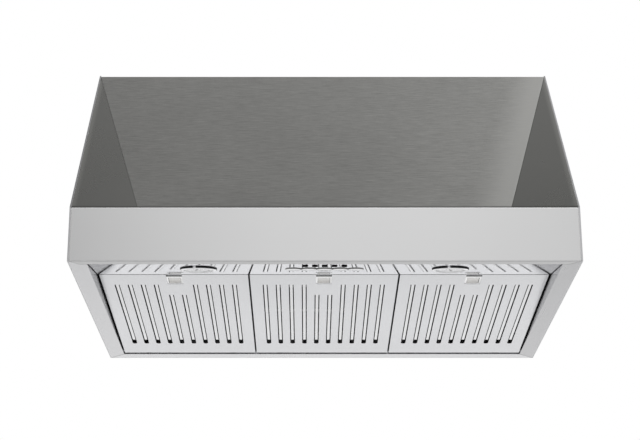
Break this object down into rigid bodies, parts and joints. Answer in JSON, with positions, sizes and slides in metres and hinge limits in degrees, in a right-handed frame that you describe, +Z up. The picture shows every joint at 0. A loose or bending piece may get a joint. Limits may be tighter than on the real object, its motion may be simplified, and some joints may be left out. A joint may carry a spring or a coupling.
{
  "type": "wall mount range hood",
  "caption": "Stainless range hood for a wall: sloped canopy over a deep band, drop-down baffle filters with latches, round lights, push buttons and a ducted blower inside.",
  "frame": {"origin": "on the wall, at the centre of the rectangle of wall screws", "axes": "+Z up, +Y into the wall, +X to the right of someone who faces the hood"},
  "size_m": [0.914, 0.686, 0.558],
  "materials": {
    "side_steel": "satin stainless sheet",
    "band_steel": "fine satin stainless, almost even",
    "brushed_front": "stainless brushed from side to side",
    "gusset_steel": "smooth satin stainless",
    "rim_steel": "satin stainless",
    "polished_steel": "polished stainless, nearly a mirror",
    "filter_steel": "bright satin stainless",
    "baffle_steel": "bright annealed stainless",
    "latch_steel": "satin stainless, slightly warm",
    "label_steel": "polished stainless, bare",
    "hidden_steel": "plain mill finish",
    "zinc_steel": "galvanised with a faint spangle",
    "wheel_metal": "galvanised sheet",
    "plated_steel": "bright zinc plate",
    "bezel_chrome": "polished ring",
    "lamp_metal": "satin aluminium",
    "lens_glass": "frosted glass",
    "button_black": "black, slightly glossy",
    "black_plastic": "matt black",
    "pale_plastic": "matt ivory",
    "board_green": "green board",
    "motor_paint": "dark grey enamel"
  },
  "bodies": {
    "canopy": {"left_side_panel": "side_steel", "right_side_panel": "side_steel", "front_band": "band_steel", "sloped_front_panel": "brushed_front", "left_corner_gusset": "gusset_steel", "right_corner_gusset": "gusset_steel", "top_panel": "hidden_steel", "back_panel": "hidden_steel", "wall_fixing_plates": "hidden_steel", "left_rim_rail": "rim_steel", "right_rim_rail": "rim_steel", "rear_rim_rail": "rim_steel", "filter_hinge_rod": "plated_steel", "hinge_rod_brackets": "plated_steel", "control_panel": "polished_steel", "lamp_housings": "lamp_metal", "switch_block": "black_plastic", "button_label_plate": "label_steel", "control_box": "hidden_steel", "control_board": "board_green", "terminal_block": "pale_plastic", "capacitor": "lamp_metal", "duct_collar": "zinc_steel", "collar_flange": "zinc_steel", "damper_pins": "plated_steel", "collar_bolts": "plated_steel", "collar_screws": "plated_steel", "cable_bushing": "black_plastic", "blower_scroll": "zinc_steel", "left_blower_side": "zinc_steel", "right_blower_side": "zinc_steel", "motor": "motor_paint", "motor_spider": "plated_steel", "left_light_bezel": "bezel_chrome", "right_light_bezel": "bezel_chrome", "left_light_lens": "lens_glass", "right_light_lens": "lens_glass"},
    "impeller": {"impeller": "wheel_metal", "motor_shaft": "plated_steel"},
    "damper_front": {"front_damper_flap": "zinc_steel"},
    "damper_rear": {"rear_damper_flap": "zinc_steel"},
    "button_1": {"push_button_1": "button_black"},
    "button_2": {"push_button_2": "button_black"},
    "button_3": {"push_button_3": "button_black"},
    "button_4": {"push_button_4": "button_black"},
    "button_5": {"push_button_5": "button_black"},
    "filter_left": {"left_filter_face": "filter_steel", "left_filter_baffles": "baffle_steel", "left_latch_guide": "plated_steel"},
    "latch_left": {"left_latch_slider": "latch_steel"},
    "filter_middle": {"middle_filter_face": "filter_steel", "middle_filter_baffles": "baffle_steel", "middle_latch_guide": "plated_steel"},
    "latch_middle": {"middle_latch_slider": "latch_steel"},
    "filter_right": {"right_filter_face": "filter_steel", "right_filter_baffles": "baffle_steel", "right_latch_guide": "plated_steel"},
    "latch_right": {"right_latch_slider": "latch_steel"}
  },
  "joints": [
    {"name": "impeller_spin", "type": "hinge", "parent": "canopy", "child": "impeller", "pos_m": [0, -0.24492, -0.0135], "axis": [1, 0, 0], "continuous": true},
    {"name": "front_flap_lift", "type": "hinge", "parent": "canopy", "child": "damper_front", "pos_m": [0, -0.141, 0.196], "axis": [-1, 0, 0], "range_deg": [0, 78]},
    {"name": "rear_flap_lift", "type": "hinge", "parent": "canopy", "child": "damper_rear", "pos_m": [0, -0.129, 0.196], "axis": [1, 0, 0], "range_deg": [0, 78]},
    {"name": "button_1_press", "type": "slide", "parent": "canopy", "child": "button_1", "axis": [0, -0.1677, 0.9858], "range_m": [0, 0.0015], "stiffness_N_per_m": 400, "springref_m": -0.002},
    {"name": "button_2_press", "type": "slide", "parent": "canopy", "child": "button_2", "axis": [0, -0.1677, 0.9858], "range_m": [0, 0.0015], "stiffness_N_per_m": 400, "springref_m": -0.002},
    {"name": "button_3_press", "type": "slide", "parent": "canopy", "child": "button_3", "axis": [0, -0.1677, 0.9858], "range_m": [0, 0.0015], "stiffness_N_per_m": 400, "springref_m": -0.002},
    {"name": "button_4_press", "type": "slide", "parent": "canopy", "child": "button_4", "axis": [0, -0.1677, 0.9858], "range_m": [0, 0.0015], "stiffness_N_per_m": 400, "springref_m": -0.002},
    {"name": "button_5_press", "type": "slide", "parent": "canopy", "child": "button_5", "axis": [0, -0.1677, 0.9858], "range_m": [0, 0.0015], "stiffness_N_per_m": 400, "springref_m": -0.002},
    {"name": "left_filter_drop", "type": "hinge", "parent": "canopy", "child": "filter_left", "pos_m": [0, -0.039, -0.313], "axis": [1, 0, 0], "range_deg": [0, 75]},
    {"name": "left_latch_pull", "type": "slide", "parent": "filter_left", "child": "latch_left", "axis": [0, 0.9985, -0.0547], "range_m": [0, 0.006], "stiffness_N_per_m": 400, "springref_m": -0.004},
    {"name": "middle_filter_drop", "type": "hinge", "parent": "canopy", "child": "filter_middle", "pos_m": [0, -0.039, -0.313], "axis": [1, 0, 0], "range_deg": [0, 75]},
    {"name": "middle_latch_pull", "type": "slide", "parent": "filter_middle", "child": "latch_middle", "axis": [0, 0.9985, -0.0547], "range_m": [0, 0.006], "stiffness_N_per_m": 400, "springref_m": -0.004},
    {"name": "right_filter_drop", "type": "hinge", "parent": "canopy", "child": "filter_right", "pos_m": [0, -0.039, -0.313], "axis": [1, 0, 0], "range_deg": [0, 75]},
    {"name": "right_latch_pull", "type": "slide", "parent": "filter_right", "child": "latch_right", "axis": [0, 0.9985, -0.0547], "range_m": [0, 0.006], "stiffness_N_per_m": 400, "springref_m": -0.004}
  ]
}
